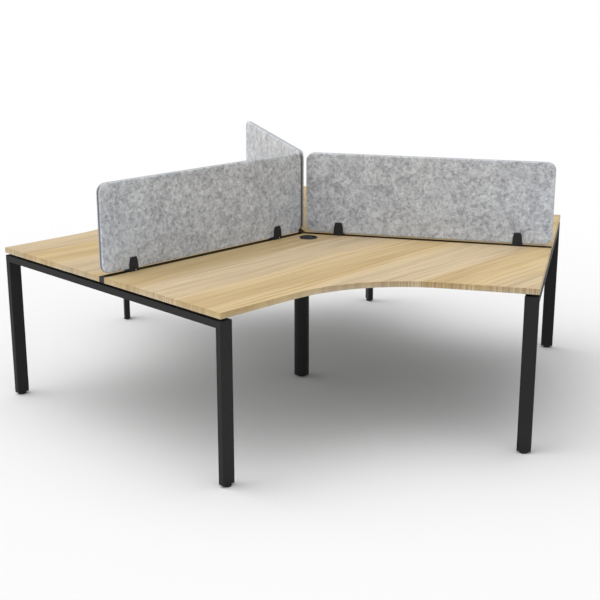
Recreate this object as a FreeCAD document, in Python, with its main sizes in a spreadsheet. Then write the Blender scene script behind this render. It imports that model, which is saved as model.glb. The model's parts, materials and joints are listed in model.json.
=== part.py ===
import FreeCAD, Part

import Sketcher
import math
import os
from types import SimpleNamespace

# A desk cluster for three people: three worktops set at 120 degrees round a hub, three spines between
# them, a leg frame at the end of each spine, a round leg near the hub, and a felt screen over each
# spine. X runs left to right, the front desk faces -Y and the floor is at Z = 0. The origin is the
# middle of the footprint. Lengths are in millimetres and angles in degrees.

# Driving dimensions: cell name, value, meaning.
SHEET_ROWS = (
    ("desk_height", 725, "floor to the top of the worktops"),
    ("spine_length", 1200, "hub axis to the end of a spine"),
    ("spine_gap", 34, "cable gap between two worktops"),
    ("desk_depth", 740, "worktop depth across its end, from the gap to the front edge"),
    ("top_thickness", 25, "worktop board"),
    ("front_arc_radius", 640, "curve of the front edge where the user sits"),
    ("band_thickness", 2, "edge band glued round each board"),
    ("band_rounding", 1, "rounded arris of the edge band"),
    ("shadow_gap", 11, "air between the frame and the worktops"),
    ("tube_width", 30, "narrow side of the frame tube, also the height of the rails"),
    ("tube_depth", 60, "wide side of the frame tube, along the spine"),
    ("tube_wall", 2, "wall of the frame tube"),
    ("tube_rounding", 3, "outside corner radius of the frame tube"),
    ("floor_gap", 10, "floor to the bottom of the leg caps"),
    ("cap_flange", 2, "flange of a leg cap under the tube"),
    ("plug_height", 30, "leg cap inside the tube"),
    ("plug_clearance", 0.1, "leg cap plug to tube wall"),
    ("pad_radius", 19, "foot pad of a levelling glide"),
    ("pad_height", 8, "foot pad without its collar"),
    ("pad_chamfer", 1.5, "chamfer of the foot pad"),
    ("collar_radius", 12, "collar of a glide above its pad"),
    ("stem_radius", 5, "threaded stem of a glide"),
    ("stem_length", 35, "stem above the collar"),
    ("stem_clearance", 0.05, "running clearance round the stem"),
    ("centre_leg_radius", 36.5, "round leg near the hub"),
    ("centre_leg_wall", 3, "wall of the round leg"),
    ("centre_leg_right", -16, "round leg's axis from the hub axis, along X"),
    ("centre_leg_back", -47, "round leg's axis from the hub axis, along Y"),
    ("hub_plate_reach", 130, "hub axis to the end of the hub plate under a beam"),
    ("hub_plate_width", 70, "width of the hub plate's three ends"),
    ("hub_plate_thickness", 8, "hub plate between the round leg and the beams"),
    ("hub_bolt_place", 105, "hub axis to the bolts through the plate"),
    ("hub_bolt_spacing", 32, "two bolts side by side under a beam"),
    ("beam_start", 22, "hub axis to the near end of a spine beam"),
    ("end_plate_thickness", 5, "plate on a spine beam's far end"),
    ("end_plate_width", 120, "width of that plate"),
    ("end_bolt_spacing", 90, "two bolts through that plate into the rail"),
    ("bolt_radius", 4, "frame bolt shank"),
    ("bolt_head_radius", 6.5, "frame bolt head and nut"),
    ("bolt_head_height", 5, "frame bolt head and nut"),
    ("bolt_clearance", 0.25, "bolt shank to its hole"),
    ("bolt_end", 3, "bolt shank beyond its nut"),
    ("riser_width", 40, "steel spacers that carry the worktops, across"),
    ("riser_plate", 4, "their flat tongue under the worktop"),
    ("riser_length", 40, "spacer block on the end rail, along the spine"),
    ("riser_setback", 15, "rail's outer side to the spacer block"),
    ("tongue_length", 50, "tongue of a rail spacer beyond its block"),
    ("tongue_screw_inset", 20, "worktop screw to the end of a tongue"),
    ("bearer_span", 150, "cross bearer on a spine beam, across the gap"),
    ("bearer_foot", 50, "foot of a cross bearer on the beam"),
    ("bearer_screw_place", 55, "worktop screw from the spine axis"),
    ("screw_radius", 2.5, "worktop screw shank"),
    ("screw_head_radius", 5.5, "worktop screw head"),
    ("screw_head_height", 3, "worktop screw head"),
    ("screw_grip", 16, "worktop screw above its head"),
    ("screw_clearance", 0.1, "worktop screw to its hole"),
    ("cover_length", 24, "end cover that closes a gap, along the spine"),
    ("cover_recess", 14, "foot of the end cover back from its face"),
    ("screen_start", 22, "hub axis to the near end of a screen"),
    ("screen_lift", 11, "worktop to the bottom of a screen"),
    ("screen_height", 386, "screen board"),
    ("screen_thickness", 28, "screen board"),
    ("screen_corner", 40, "corner radius of a screen"),
    ("screen_rounding", 6, "rounded arris of a screen"),
    ("bracket_width", 48, "screen bracket at its foot, along the spine"),
    ("bracket_shoulder_width", 42, "screen bracket where its sides bend inwards"),
    ("bracket_top_width", 30, "screen bracket at its top"),
    ("bracket_shoulder_height", 41, "worktop to where a bracket's sides bend inwards"),
    ("bracket_height", 63, "worktop to the top of a bracket"),
    ("bracket_depth", 44, "screen bracket across the spine"),
    ("bracket_rounding", 1.5, "rounded edges of a bracket's outer faces"),
    ("bracket_inset", 163, "screen's near end to the middle of its inner bracket"),
    ("bracket_end_inset", 158, "screen's far end to the middle of its outer bracket"),
    ("spigot_width", 40, "spigot of a bracket in the gap, along the spine"),
    ("spigot_clearance", 0.3, "spigot to the worktops"),
    ("clamp_width", 60, "clamp plate under the worktops, along the spine"),
    ("clamp_span", 56, "clamp plate across the gap"),
    ("clamp_thickness", 4, "clamp plate"),
    ("clamp_bolt_radius", 3, "clamp bolt shank"),
    ("clamp_head_radius", 5, "clamp bolt head and nut"),
    ("clamp_head_height", 4, "clamp bolt head and nut"),
    ("clamp_head_depth", 2, "clamp bolt head below the screen's edge"),
    ("clamp_bolt_end", 1, "clamp bolt shank beyond its nut"),
    ("clamp_clearance", 0.2, "clamp bolt to its hole"),
    ("grip_screw_radius", 2, "grip screw in a bracket's side"),
    ("grip_screw_length", 12, "grip screw inside the bracket"),
    ("grip_head_radius", 3.2, "grip screw head"),
    ("grip_head_height", 1.5, "grip screw head"),
    ("grip_screw_height", 6.5, "worktop to the grip screw"),
    ("grip_screw_offset", 7, "grip screw from the middle of its bracket, towards the hub"),
    ("grommet_place", 113, "hub axis to the middle of a cable grommet"),
    ("hole_radius", 39.5, "hole in the worktop for a grommet"),
    ("liner_clearance", 0.1, "grommet sleeve to the hole"),
    ("liner_depth", 22, "grommet sleeve below the worktop surface"),
    ("liner_wall", 2.5, "grommet sleeve"),
    ("liner_flange_radius", 43, "grommet flange"),
    ("liner_flange_height", 3, "grommet flange"),
    ("liner_chamfer", 1, "chamfer of the flange"),
    ("ledge_width", 4, "ledge that carries the grommet cap"),
    ("ledge_height", 2, "ledge that carries the grommet cap"),
    ("lid_radius", 36.7, "grommet cap"),
    ("lid_clearance", 0.3, "grommet cap to its liner"),
    ("lid_skirt_depth", 3, "skirt under the grommet cap"),
    ("lid_skirt_wall", 2, "skirt under the grommet cap"),
    ("mouth_width", 26, "cable mouth in the grommet cap"),
    ("mouth_depth", 18, "cable mouth in from the cap's rim"),
    ("mouth_rounding", 6, "inner corners of the cable mouth"),
    ("cut_overrun", 1, "how far a cutting shape runs past what it cuts"),
)

# Cross bearers along a spine beam, as shares of the spine's length.
BEARER_SHARES = (0.09, 0.4, 0.72)

# Rail spacers each side of the spine, as shares of the distance out to the leg.
RISER_SHARES = (0.3, 0.8)

# Directions of the spines and of the middle of each desk. A desk lies on the near side of the spine
# that follows it and on the far side of the spine before it.
SPINES = {"back": 90, "left": 210, "right": 330}
DESKS = {"front": 270, "rear_left": 150, "rear_right": 30}

# Which way a spine's two sides face: first the side that the turn towards +Y from +X goes to.
SIDE_NAMES = {
    "back": {1: "left", -1: "right"},
    "left": {1: "front", -1: "rear"},
    "right": {1: "rear", -1: "front"},
}

SPINE_TURN = 120
HALF_TURN = SPINE_TURN / 2


class Size:
    """A length, as its value and as the expression over the sheet's cells that gives it."""

    def __init__(self, value, text=None):
        self.value = value
        self.text = text or repr(value)

    def joined(self, sign, other, value):
        return Size(value, f"({self.text} {sign} {other.text})")

    def __add__(self, other):
        return self.joined("+", as_size(other), self.value + as_size(other).value)

    def __sub__(self, other):
        return self.joined("-", as_size(other), self.value - as_size(other).value)

    def __mul__(self, other):
        return self.joined("*", as_size(other), self.value * as_size(other).value)

    def __truediv__(self, other):
        return self.joined("/", as_size(other), self.value / as_size(other).value)

    def __neg__(self):
        return Size(-self.value, f"(0 - {self.text})")


def as_size(value):
    return value if isinstance(value, Size) else Size(value)


def cosine(angle):
    return round(math.cos(math.radians(angle)), 15)


def sine(angle):
    return round(math.sin(math.radians(angle)), 15)


def turned(angle, x, y):
    """The point x, y of a frame turned by the angle, seen from the frame that isn't turned."""
    return x * cosine(angle) - y * sine(angle), x * sine(angle) + y * cosine(angle)


doc = FreeCAD.newDocument("desk_cluster")
sheet = doc.addObject("Spreadsheet::Sheet", "Sizes")
for row, (cell_name, cell_value, meaning) in enumerate(SHEET_ROWS, start=1):
    sheet.set(f"A{row}", meaning)
    sheet.set(f"B{row}", str(cell_value))
    sheet.setAlias(f"B{row}", cell_name)
doc.recompute()

ZERO = Size(0)
S = SimpleNamespace(**{name: Size(value, f"Sizes.{name}") for name, value, meaning in SHEET_ROWS})

# Levels above the floor, and distances along and across a spine, that several pieces share.
TOP = S.desk_height
TOP_UNDER = TOP - S.top_thickness
RAIL_TOP = TOP_UNDER - S.shadow_gap
RAIL_UNDER = RAIL_TOP - S.tube_width
LEG_BOTTOM = S.floor_gap + S.cap_flange
HUB_PLATE_UNDER = RAIL_UNDER - S.hub_plate_thickness
HALF_GAP = S.spine_gap / 2
FRONT_LINE = HALF_GAP + S.desk_depth
RAIL_INNER = S.spine_length - S.tube_depth
BEAM_END = RAIL_INNER - S.end_plate_thickness
LEG_ALONG = S.spine_length - S.tube_depth / 2
LEG_ACROSS = FRONT_LINE - S.tube_width / 2
RISER_OUTER = S.spine_length - S.riser_setback
RISER_INNER = RISER_OUTER - S.riser_length
TONGUE_END = RISER_INNER - S.tongue_length
PLATE_UNDER = TOP_UNDER - S.riser_plate
SCREEN_UNDER = TOP + S.screen_lift
SCREW_HEAD_UNDER = PLATE_UNDER - S.screw_head_height
BRACKET_PLACES = {
    "inner": S.screen_start + S.bracket_inset,
    "outer": S.spine_length - S.bracket_end_inset,
}

# The hub's axis stands behind the origin, which is the middle of the footprint.
HUB_BACK = (FRONT_LINE * cosine(SPINE_TURN / 4) - S.spine_length * cosine(HALF_TURN)) / 2

nodes = []


def place(item, angle=0, x=ZERO, y=ZERO, z=ZERO, tilt=None):
    """Puts an object at x, y, z of the frame that is turned by the angle about the hub's axis."""
    rotation = FreeCAD.Rotation(FreeCAD.Vector(0, 0, 1), angle)
    if tilt is not None:
        rotation = rotation.multiply(tilt)
    item.Placement = FreeCAD.Placement(FreeCAD.Vector(), rotation)
    across, back = turned(angle, x, y)
    for axis, value in (("x", across), ("y", back + HUB_BACK), ("z", z)):
        item.setExpression(f"Placement.Base.{axis}", value.text)


def bind(item, **sizes):
    for name, value in sizes.items():
        item.setExpression(name, value.text)


def new_body(name, angle=0, **spot):
    body = doc.addObject("PartDesign::Body", name)
    body.AllowCompound = True
    place(body, angle, **spot)
    nodes.append(body)
    return body


def new_sketch(body, role, level):
    """A sketch parallel to one of the body's own planes, at a level along that plane's normal."""
    sketch = body.newObject("Sketcher::SketchObject", f"{body.Name}_sketch")
    plane = next(item for item in body.Origin.OriginFeatures if item.Role == role)
    sketch.AttachmentSupport = [(plane, "")]
    sketch.MapMode = "FlatFace"
    bind(sketch, **{"AttachmentOffset.Base.z": level})
    return sketch


def arc_middle(start, end, radius, side):
    """The middle of a short arc whose centre lies on the left (side 1) or right (-1) of its chord."""
    chord = end - start
    left = FreeCAD.Vector(-chord.y, chord.x, 0).normalize() * side
    rise = radius - math.sqrt(max(radius ** 2 - (chord.Length / 2) ** 2, 0))
    return (start + end) / 2 - left * rise


def draw_loop(sketch, corners, arcs=None):
    """A closed outline. arcs gives the sides that are arcs: side number to (radius, centre's side)."""
    arcs = arcs or {}
    points = [FreeCAD.Vector(x.value, y.value, 0) for x, y in corners]
    edges = []
    for index, start in enumerate(points):
        end = points[(index + 1) % len(points)]
        if index in arcs:
            radius, side = arcs[index]
            edges.append(Part.Arc(start, arc_middle(start, end, radius.value, side), end))
        else:
            edges.append(Part.LineSegment(start, end))
    sides = sketch.addGeometry(edges, False)
    starts = [end_at(sketch, side, point) for side, point in zip(sides, points)]
    joints, datums = [], []
    for index, (x, y) in enumerate(corners):
        side, start = sides[index], starts[index]
        joints.append(Sketcher.Constraint("Coincident", sides[index - 1], 3 - starts[index - 1], side, start))
        datums += [("DistanceX", x, -1, 1, side, start), ("DistanceY", y, -1, 1, side, start)]
        if index in arcs:
            datums.append(("Radius", arcs[index][0], side))
    sketch.addConstraint(joints)
    add_datums(sketch, datums)


def end_at(sketch, side, point):
    """1 or 2: which end of a side of the sketch lies at the point."""
    gaps = [(sketch.getPoint(side, end) - point).Length for end in (1, 2)]
    return 1 + gaps.index(min(gaps))


def add_datums(sketch, datums):
    """Dimensions that the sheet drives, each as its kind, its size and what it measures."""
    constraints = [Sketcher.Constraint(kind, *where, size.value) for kind, size, *where in datums]
    for number, (kind, size, *where) in zip(sketch.addConstraint(constraints), datums):
        sketch.setExpression(f"Constraints[{number}]", size.text)


def draw_circle(sketch, x, y, radius):
    centre = FreeCAD.Vector(x.value, y.value, 0)
    edge = Part.Circle(centre, FreeCAD.Vector(0, 0, 1), radius.value)
    ring = sketch.addGeometry(edge, False)
    add_datums(sketch, [
        ("DistanceX", x, -1, 1, ring, 3), ("DistanceY", y, -1, 1, ring, 3), ("Radius", radius, ring),
    ])


def circle(x, y, radius):
    return draw_circle, x, y, radius


def loop(corners, arcs=None):
    return draw_loop, corners, arcs


def box(low_x, high_x, low_y, high_y, rounding=None, angle=0):
    """A rectangle, with or without rounded corners, in a frame that is turned by the angle."""
    if rounding is None:
        corners = [(low_x, low_y), (high_x, low_y), (high_x, high_y), (low_x, high_y)]
        arcs = {}
    else:
        near_x, far_x = low_x + rounding, high_x - rounding
        near_y, far_y = low_y + rounding, high_y - rounding
        corners = [
            (near_x, low_y), (far_x, low_y), (high_x, near_y), (high_x, far_y),
            (far_x, high_y), (near_x, high_y), (low_x, far_y), (low_x, near_y),
        ]
        arcs = {side: (rounding, 1) for side in (1, 3, 5, 7)}
    return loop([turned(angle, x, y) for x, y in corners], arcs)


def centred_box(x, y, width, depth, angle=0):
    return box(x - width / 2, x + width / 2, y - depth / 2, y + depth / 2, angle=angle)


def tube_section(low_x, high_x, low_y, high_y):
    """The outer and inner outline of the frame tube."""
    wall = S.tube_wall
    return (
        box(low_x, high_x, low_y, high_y, S.tube_rounding),
        box(low_x + wall, high_x - wall, low_y + wall, high_y - wall, S.tube_rounding - wall),
    )


def extrude(body, kind, role, low, high, *outlines):
    """A Pad, or a Pocket, of the outlines between two levels along one of the body's axes."""
    sketch = new_sketch(body, role, -high if role == "XZ_Plane" else low)
    for draw, *shape in outlines:
        draw(sketch, *shape)
    feature = body.newObject(f"PartDesign::{kind}", f"{body.Name}_{kind.lower()}")
    feature.Profile = sketch
    bind(feature, Length=high - low)
    if kind == "Pocket":
        feature.Reversed = True
    return feature


def revolve(body, corners):
    """A full turn of an outline of radius and height about the body's upright axis."""
    sketch = new_sketch(body, "XZ_Plane", ZERO)
    draw_loop(sketch, corners)
    feature = body.newObject("PartDesign::Revolution", f"{body.Name}_revolution")
    feature.Profile = sketch
    feature.ReferenceAxis = (sketch, ["V_Axis"])
    feature.Angle = 360


def round_faces(body, feature, radius, level, axis):
    """Rounds the edges of a feature that lie in the two planes at plus and minus a level."""
    doc.recompute([feature])
    names = []
    for number, edge in enumerate(feature.Shape.Edges, start=1):
        bounds = edge.BoundBox
        low, high = getattr(bounds, f"{axis}Min"), getattr(bounds, f"{axis}Max")
        if high - low < radius.value and abs(abs((low + high) / 2) - level.value) < radius.value / 2:
            names.append(f"Edge{number}")
    fillet = body.newObject("PartDesign::Fillet", f"{body.Name}_fillet")
    fillet.Base = (feature, names)
    bind(fillet, Radius=radius)


def worktop_outline(inset):
    """A worktop's outline in its own frame, X away from the hub, a little inside its true edge."""
    along, out = cosine(HALF_TURN), sine(HALF_TURN)
    gap_line = HALF_GAP + inset
    front_line = FRONT_LINE - inset
    end_line = S.spine_length - inset
    radius = S.front_arc_radius + inset
    tangent = radius * (along / out)
    right = [
        (end_line * along + gap_line * out, gap_line * along - end_line * out),
        (end_line * along + front_line * out, front_line * along - end_line * out),
        (front_line / out + tangent * along, -(tangent * out)),
    ]
    left = [(x, -y) for x, y in reversed(right)]
    arc_side = len(right)
    return loop([(gap_line / out, ZERO)] + right + left, {arc_side: (radius, -1)})


def worktop_screw_places():
    """Along and across a spine, on the side that the turn from its direction goes to."""
    for share in RISER_SHARES:
        yield TONGUE_END + S.tongue_screw_inset, LEG_ACROSS * share
    for share in BEARER_SHARES:
        yield S.spine_length * share, S.bearer_screw_place


def make_worktop(name, angle):
    """The board, with the grommet's hole and the pilot holes for the screws from below."""
    body = new_body(f"worktop_{name}", angle)
    extrude(body, "Pad", "XY_Plane", TOP_UNDER, TOP, worktop_outline(S.band_thickness))
    over = S.cut_overrun
    hole = circle(S.grommet_place, ZERO, S.hole_radius)
    extrude(body, "Pocket", "XY_Plane", TOP_UNDER - over, TOP + over, hole)
    pilots = []
    for along, across in worktop_screw_places():
        for side in (1, -1):
            x, y = turned(-side * HALF_TURN, along, across * side)
            pilots.append(circle(x, y, S.screw_radius + S.screw_clearance))
    pilot_top = PLATE_UNDER + S.screw_grip + over
    extrude(body, "Pocket", "XY_Plane", TOP_UNDER - over, pilot_top, *pilots)


def make_edge_band(name, angle):
    """The band glued round the board, with its two outer arrises rounded."""
    body = new_body(f"edge_band_{name}", angle)
    pad = extrude(body, "Pad", "XY_Plane", TOP_UNDER, TOP, worktop_outline(ZERO))
    doc.recompute([pad])
    arrises = []
    for number, edge in enumerate(pad.Shape.Edges, start=1):
        if edge.BoundBox.ZLength < S.band_thickness.value:
            arrises.append(f"Edge{number}")
    fillet = body.newObject("PartDesign::Fillet", f"{body.Name}_fillet")
    fillet.Base = (pad, arrises)
    bind(fillet, Radius=S.band_rounding)
    over = S.cut_overrun
    inner = worktop_outline(S.band_thickness)
    extrude(body, "Pocket", "XY_Plane", TOP_UNDER - over, TOP + over, inner)


def make_grommet(name, angle):
    """A liner that drops into the worktop's hole, and the cap that turns on its ledge."""
    recess = S.lid_radius + S.lid_clearance
    ledge = recess - S.ledge_width
    sleeve = S.hole_radius - S.liner_clearance
    rim = TOP + S.liner_flange_height
    ledge_under = TOP - S.ledge_height
    sleeve_end = TOP - S.liner_depth
    liner = new_body(f"grommet_liner_{name}", angle, x=S.grommet_place)
    revolve(liner, [
        (ledge, ledge_under),
        (sleeve - S.liner_wall, ledge_under),
        (sleeve - S.liner_wall, sleeve_end),
        (sleeve, sleeve_end),
        (sleeve, TOP),
        (S.liner_flange_radius, TOP),
        (S.liner_flange_radius, rim - S.liner_chamfer),
        (S.liner_flange_radius - S.liner_chamfer, rim),
        (recess, rim),
        (recess, TOP),
        (ledge, TOP),
    ])
    seat = TOP + S.lid_clearance
    skirt = ledge - S.lid_clearance
    cap = new_body(f"grommet_cap_{name}", angle, x=S.grommet_place)
    revolve(cap, [
        (ZERO, seat),
        (skirt - S.lid_skirt_wall, seat),
        (skirt - S.lid_skirt_wall, seat - S.lid_skirt_depth),
        (skirt, seat - S.lid_skirt_depth),
        (skirt, seat),
        (S.lid_radius, seat),
        (S.lid_radius, rim),
        (ZERO, rim),
    ])
    over = S.cut_overrun
    half = S.mouth_width / 2
    near = S.lid_radius - S.mouth_depth
    bend = S.mouth_rounding
    far = S.lid_radius + over
    mouth = [
        (half - bend, near), (half, near + bend), (half, far),
        (-half, far), (-half, near + bend), (bend - half, near),
    ]
    outline = loop(mouth, {0: (bend, 1), 4: (bend, 1)})
    extrude(cap, "Pocket", "XY_Plane", seat - S.lid_skirt_depth - over, rim + over, outline)


def mitre(side, third_corner):
    """The triangle that cuts the joint between a rail and a leg, on one side of the spine."""
    over = S.cut_overrun
    inner = FRONT_LINE - S.tube_width - over
    outer = FRONT_LINE + over
    low, high = RAIL_UNDER - over, RAIL_TOP + over
    last = (outer, low) if third_corner == "rail" else (inner, high)
    return loop([(x * side, z) for x, z in ((inner, low), (outer, high), last)])


def make_end_rail(name, angle):
    body = new_body(f"end_rail_{name}", angle)
    section = tube_section(RAIL_INNER, S.spine_length, RAIL_UNDER, RAIL_TOP)
    extrude(body, "Pad", "XZ_Plane", -FRONT_LINE, FRONT_LINE, *section)
    over = S.cut_overrun
    mitres = [mitre(side, "rail") for side in (1, -1)]
    extrude(body, "Pocket", "YZ_Plane", RAIL_INNER - over, S.spine_length + over, *mitres)
    middle = (RAIL_UNDER + RAIL_TOP) / 2
    hole = S.bolt_radius + S.bolt_clearance
    holes = [circle(S.end_bolt_spacing * side / 2, middle, hole) for side in (1, -1)]
    wall_end = RAIL_INNER + S.tube_wall + over
    extrude(body, "Pocket", "YZ_Plane", RAIL_INNER - over, wall_end, *holes)


def make_leg(spine, angle, side):
    body = new_body(f"leg_{spine}_{SIDE_NAMES[spine][side]}", angle)
    across = sorted((FRONT_LINE * side, (FRONT_LINE - S.tube_width) * side), key=lambda size: size.value)
    section = tube_section(RAIL_INNER, S.spine_length, *across)
    extrude(body, "Pad", "XY_Plane", LEG_BOTTOM, RAIL_TOP, *section)
    over = S.cut_overrun
    cut = mitre(side, "leg")
    extrude(body, "Pocket", "YZ_Plane", RAIL_INNER - over, S.spine_length + over, cut)


def make_leg_caps(places):
    """The plugs in the ends of the six tube legs, with a threaded bore for each glide."""
    body = new_body("leg_caps")
    reach_x = S.tube_depth / 2 - S.tube_wall - S.plug_clearance
    reach_y = S.tube_width / 2 - S.tube_wall - S.plug_clearance
    plugs, flanges, bores = [], [], []
    for angle, side in places:
        x, y = LEG_ALONG, LEG_ACROSS * side
        rounding = S.tube_rounding - S.tube_wall
        plugs.append(box(x - reach_x, x + reach_x, y - reach_y, y + reach_y, rounding, angle))
        half_x, half_y = S.tube_depth / 2, S.tube_width / 2
        flanges.append(box(x - half_x, x + half_x, y - half_y, y + half_y, S.tube_rounding, angle))
        bores.append(circle(*turned(angle, x, y), S.stem_radius + S.stem_clearance))
    top = LEG_BOTTOM + S.plug_height
    over = S.cut_overrun
    extrude(body, "Pad", "XY_Plane", S.floor_gap, LEG_BOTTOM, *flanges)
    extrude(body, "Pad", "XY_Plane", LEG_BOTTOM, top, *plugs)
    extrude(body, "Pocket", "XY_Plane", S.floor_gap - over, top + over, *bores)


def make_centre_leg():
    """The round tube near the hub and the cap in its foot."""
    spot = {"x": S.centre_leg_right, "y": S.centre_leg_back}
    inside = S.centre_leg_radius - S.centre_leg_wall
    tube = new_body("centre_leg", **spot)
    walls = circle(ZERO, ZERO, S.centre_leg_radius), circle(ZERO, ZERO, inside)
    extrude(tube, "Pad", "XY_Plane", LEG_BOTTOM, HUB_PLATE_UNDER, *walls)
    bore = S.stem_radius + S.stem_clearance
    top = LEG_BOTTOM + S.plug_height
    cap = new_body("centre_leg_cap", **spot)
    revolve(cap, [
        (bore, S.floor_gap),
        (S.centre_leg_radius, S.floor_gap),
        (S.centre_leg_radius, LEG_BOTTOM),
        (inside - S.plug_clearance, LEG_BOTTOM),
        (inside - S.plug_clearance, top),
        (bore, top),
    ])


def make_glide(name, angle, x, y):
    """A foot pad with its threaded stem, which screws in and out of a leg cap."""
    body = new_body(f"glide_{name}", angle, x=x, y=y)
    rim = S.pad_radius - S.pad_chamfer
    stem_top = S.floor_gap + S.stem_length
    revolve(body, [
        (ZERO, ZERO),
        (rim, ZERO),
        (S.pad_radius, S.pad_chamfer),
        (S.pad_radius, S.pad_height - S.pad_chamfer),
        (rim, S.pad_height),
        (S.collar_radius, S.pad_height),
        (S.collar_radius, S.floor_gap),
        (S.stem_radius, S.floor_gap),
        (S.stem_radius, stem_top),
        (ZERO, stem_top),
    ])


def hub_bolt_places():
    """Along and across a spine, the bolts through the hub plate into a beam."""
    return [(S.hub_bolt_place, S.hub_bolt_spacing * side / 2) for side in (1, -1)]


def make_hub_plate():
    """The plate on the round leg: a triangle with its corners cut square under the beams."""
    body = new_body("hub_plate")
    half = S.hub_plate_width / 2
    corners = []
    for angle in SPINES.values():
        corners += [turned(angle, S.hub_plate_reach, -half), turned(angle, S.hub_plate_reach, half)]
    extrude(body, "Pad", "XY_Plane", HUB_PLATE_UNDER, RAIL_UNDER, loop(corners))
    over = S.cut_overrun
    hole = S.bolt_radius + S.bolt_clearance
    spots = [turned(angle, *spot) for angle in SPINES.values() for spot in hub_bolt_places()]
    holes = [circle(x, y, hole) for x, y in spots]
    extrude(body, "Pocket", "XY_Plane", HUB_PLATE_UNDER - over, RAIL_UNDER + over, *holes)


def make_spine_beam(name, angle):
    body = new_body(f"spine_beam_{name}", angle)
    half = S.tube_depth / 2
    section = tube_section(-half, half, RAIL_UNDER, RAIL_TOP)
    extrude(body, "Pad", "YZ_Plane", S.beam_start, BEAM_END, *section)
    over = S.cut_overrun
    hole = S.bolt_radius + S.bolt_clearance
    holes = [circle(x, y, hole) for x, y in hub_bolt_places()]
    wall_top = RAIL_UNDER + S.tube_wall + over
    extrude(body, "Pocket", "XY_Plane", RAIL_UNDER - over, wall_top, *holes)


def make_rail_spacers(name, angle):
    """Steel spacers on an end rail, each with a tongue that a worktop screw goes through."""
    body = new_body(f"rail_spacers_{name}", angle)
    over = S.cut_overrun
    half = S.riser_width / 2
    spots = [LEG_ACROSS * share * side for share in RISER_SHARES for side in (1, -1)]
    tongues = [box(TONGUE_END, RISER_OUTER, y - half, y + half) for y in spots]
    blocks = [box(RISER_INNER, RISER_OUTER, y - half, y + half) for y in spots]
    hole = S.screw_radius + S.screw_clearance
    holes = [circle(TONGUE_END + S.tongue_screw_inset, y, hole) for y in spots]
    extrude(body, "Pad", "XY_Plane", PLATE_UNDER, TOP_UNDER, *tongues)
    extrude(body, "Pad", "XY_Plane", RAIL_TOP, PLATE_UNDER, *blocks)
    extrude(body, "Pocket", "XY_Plane", PLATE_UNDER - over, TOP_UNDER + over, *holes)


def make_cross_bearers(name, angle):
    """Steel bearers on a spine beam, which carry the edges of two worktops across the gap."""
    body = new_body(f"cross_bearers_{name}", angle)
    over = S.cut_overrun
    spots = [S.spine_length * share for share in BEARER_SHARES]
    plates = [centred_box(x, ZERO, S.riser_width, S.bearer_span) for x in spots]
    feet = [centred_box(x, ZERO, S.riser_width, S.bearer_foot) for x in spots]
    hole = S.screw_radius + S.screw_clearance
    holes = [circle(x, S.bearer_screw_place * side, hole) for x in spots for side in (1, -1)]
    extrude(body, "Pad", "XY_Plane", PLATE_UNDER, TOP_UNDER, *plates)
    extrude(body, "Pad", "XY_Plane", RAIL_TOP, PLATE_UNDER, *feet)
    extrude(body, "Pocket", "XY_Plane", PLATE_UNDER - over, TOP_UNDER + over, *holes)


def make_gap_cover(name, angle):
    """The piece that closes a spine's gap between two worktops, with a foot on the end rail."""
    body = new_body(f"gap_cover_{name}", angle)
    start = S.spine_length - S.cover_length
    face = box(start, S.spine_length, -HALF_GAP, HALF_GAP)
    foot = box(start, S.spine_length - S.cover_recess, -HALF_GAP, HALF_GAP)
    extrude(body, "Pad", "XY_Plane", TOP_UNDER, TOP, face)
    extrude(body, "Pad", "XY_Plane", RAIL_TOP, TOP_UNDER, foot)


def make_screen(name, angle):
    """A pressed felt board with round corners and softened arrises."""
    body = new_body(f"screen_{name}", angle)
    half = S.screen_thickness / 2
    top = SCREEN_UNDER + S.screen_height
    outline = box(S.screen_start, S.spine_length, SCREEN_UNDER, top, S.screen_corner)
    pad = extrude(body, "Pad", "XZ_Plane", -half, half, outline)
    round_faces(body, pad, S.screen_rounding, half, "Y")


def make_bracket(spine, angle, spot, along):
    """A moulded fork that holds a screen's edge, with a spigot down into the gap."""
    body = new_body(f"screen_bracket_{spine}_{spot}", angle)
    over = S.cut_overrun
    half_depth = S.bracket_depth / 2
    half_foot, half_shoulder = S.bracket_width / 2, S.bracket_shoulder_width / 2
    half_top = S.bracket_top_width / 2
    shoulder, top = TOP + S.bracket_shoulder_height, TOP + S.bracket_height
    fork = loop([
        (along - half_foot, TOP), (along + half_foot, TOP),
        (along + half_shoulder, shoulder), (along + half_top, top),
        (along - half_top, top), (along - half_shoulder, shoulder),
    ])
    pad = extrude(body, "Pad", "XZ_Plane", -half_depth, half_depth, fork)
    round_faces(body, pad, S.bracket_rounding, half_depth, "Y")
    half_slot = S.screen_thickness / 2
    slot = box(-half_slot, half_slot, SCREEN_UNDER, top + over)
    extrude(body, "Pocket", "YZ_Plane", along - half_foot - over, along + half_foot + over, slot)
    spigot = centred_box(along, ZERO, S.spigot_width, S.spine_gap - S.spigot_clearance * 2)
    extrude(body, "Pad", "XY_Plane", TOP_UNDER, TOP, spigot)
    shank_hole = circle(along, ZERO, S.clamp_bolt_radius + S.clamp_clearance)
    extrude(body, "Pocket", "XY_Plane", TOP_UNDER - over, SCREEN_UNDER + over, shank_hole)
    head_hole = circle(along, ZERO, S.clamp_head_radius + S.clamp_clearance)
    seat = SCREEN_UNDER - S.clamp_head_depth - S.clamp_head_height
    extrude(body, "Pocket", "XY_Plane", seat, SCREEN_UNDER + over, head_hole)
    grip_radius = S.grip_screw_radius + S.screw_clearance
    grip_hole = circle(along - S.grip_screw_offset, TOP + S.grip_screw_height, grip_radius)
    grip_end = half_depth - S.grip_screw_length
    extrude(body, "Pocket", "XZ_Plane", grip_end, half_depth + over, grip_hole)


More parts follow.
